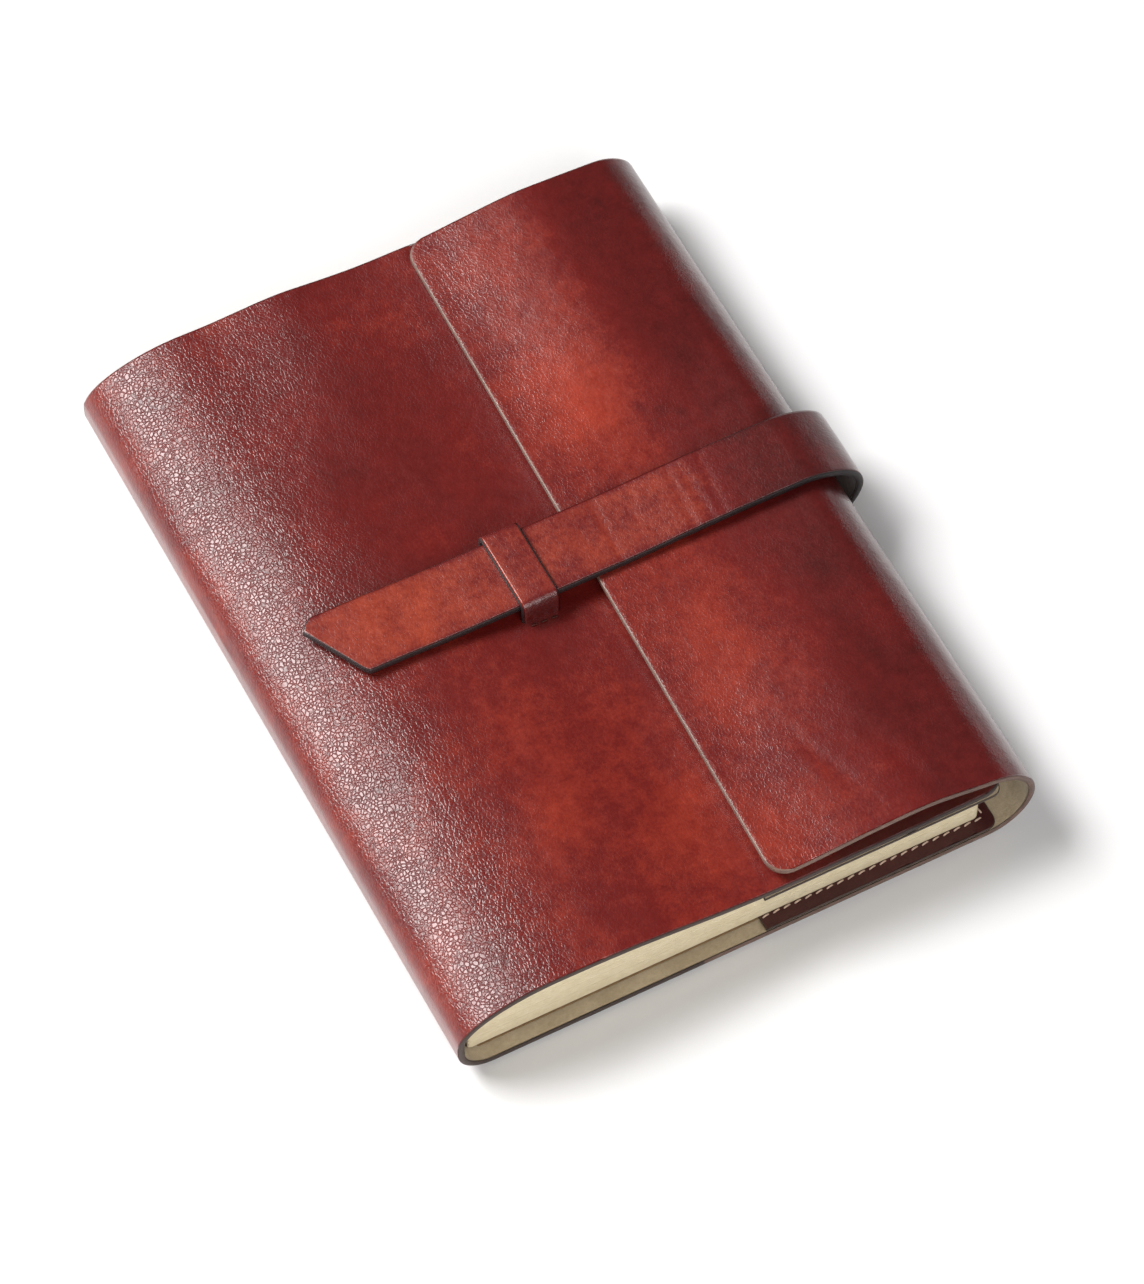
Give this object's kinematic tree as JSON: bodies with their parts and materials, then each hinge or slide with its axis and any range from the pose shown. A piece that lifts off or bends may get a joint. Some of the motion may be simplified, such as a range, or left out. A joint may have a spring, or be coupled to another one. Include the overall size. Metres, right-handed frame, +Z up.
{
  "type": "notebook cover",
  "caption": "Leather cover wrapped round a notebook, with a fore-edge flap, a strap drawn through a keeper, inner pockets and hinged front.",
  "frame": {"origin": "middle of the flat back that the closed cover rests on, under the middle of its whole width and height", "axes": "+Z up through the closed cover, +Y along the spine towards the head, +X from the spine towards the fore-edge fold"},
  "size_m": [0.1683, 0.221, 0.0306],
  "materials": {
    "hide_leather": "glossy chestnut vegetable-tanned leather, grey-beige flesh side",
    "pocket_leather": "dark brown smooth thin leather",
    "strap_leather": "glossy chestnut leather with dark burnished edges",
    "keeper_leather": "glossy chestnut leather with dark edges",
    "thread": "waxed cream thread",
    "card": "matt kraft card",
    "book_cloth": "woven book cloth",
    "endpaper": "matt uncoated paper",
    "paper": "matt uncoated cream paper"
  },
  "bodies": {
    "back": {"back_cover": "hide_leather", "back_pocket": "pocket_leather", "back_pocket_stitching": "thread", "strap_anchor": "strap_leather", "strap_anchor_stitching": "thread", "notebook_back_card": "card", "spine_tape": "book_cloth", "binding_thread": "thread", "endpaper_back": "endpaper", "endpaper_front": "endpaper", "signature_1": "paper", "signature_2": "paper", "signature_3": "paper", "signature_4": "paper", "signature_5": "paper", "signature_6": "paper", "signature_7": "paper", "signature_8": "paper"},
    "front": {"front_cover": "hide_leather", "front_pocket": "pocket_leather", "front_pocket_stitching": "thread", "keeper": "keeper_leather", "keeper_stitching": "thread", "notebook_front_card": "card"},
    "flap": {"flap": "hide_leather", "strap_bend": "strap_leather"},
    "strap_lower": {"strap_link_lower": "strap_leather"},
    "strap_upper": {"strap_link_upper": "strap_leather"},
    "strap_end": {"strap_tip": "strap_leather"}
  },
  "joints": [
    {"name": "front_open", "type": "hinge", "parent": "back", "child": "front", "pos_m": [-0.08415, 0, 0.01325], "axis": [0, -1, 0], "range_deg": [0, 175]},
    {"name": "flap_open", "type": "hinge", "parent": "back", "child": "flap", "pos_m": [0.08411, 0, 0.0144], "axis": [0, 1, 0], "range_deg": [0, 180]},
    {"name": "strap_release", "type": "hinge", "parent": "flap", "child": "strap_lower", "pos_m": [0.0686, 0.002, 0.0288], "axis": [0, 1, 0], "range_deg": [0, 88.5]},
    {"name": "strap_fold", "type": "hinge", "parent": "strap_lower", "child": "strap_upper", "pos_m": [0.03272, 0.002, 0.0267], "axis": [0, 1, 0], "range_deg": [-177, 0]},
    {"name": "strap_draw", "type": "hinge", "parent": "strap_upper", "child": "strap_end", "pos_m": [-0.00315, 0.002, 0.0288], "axis": [0, 1, 0], "range_deg": [0, 88.5]}
  ],
  "couplings": [
    {"joint": "strap_fold", "follows": "strap_release", "ratio": -2},
    {"joint": "strap_draw", "follows": "strap_release", "ratio": 1}
  ]
}
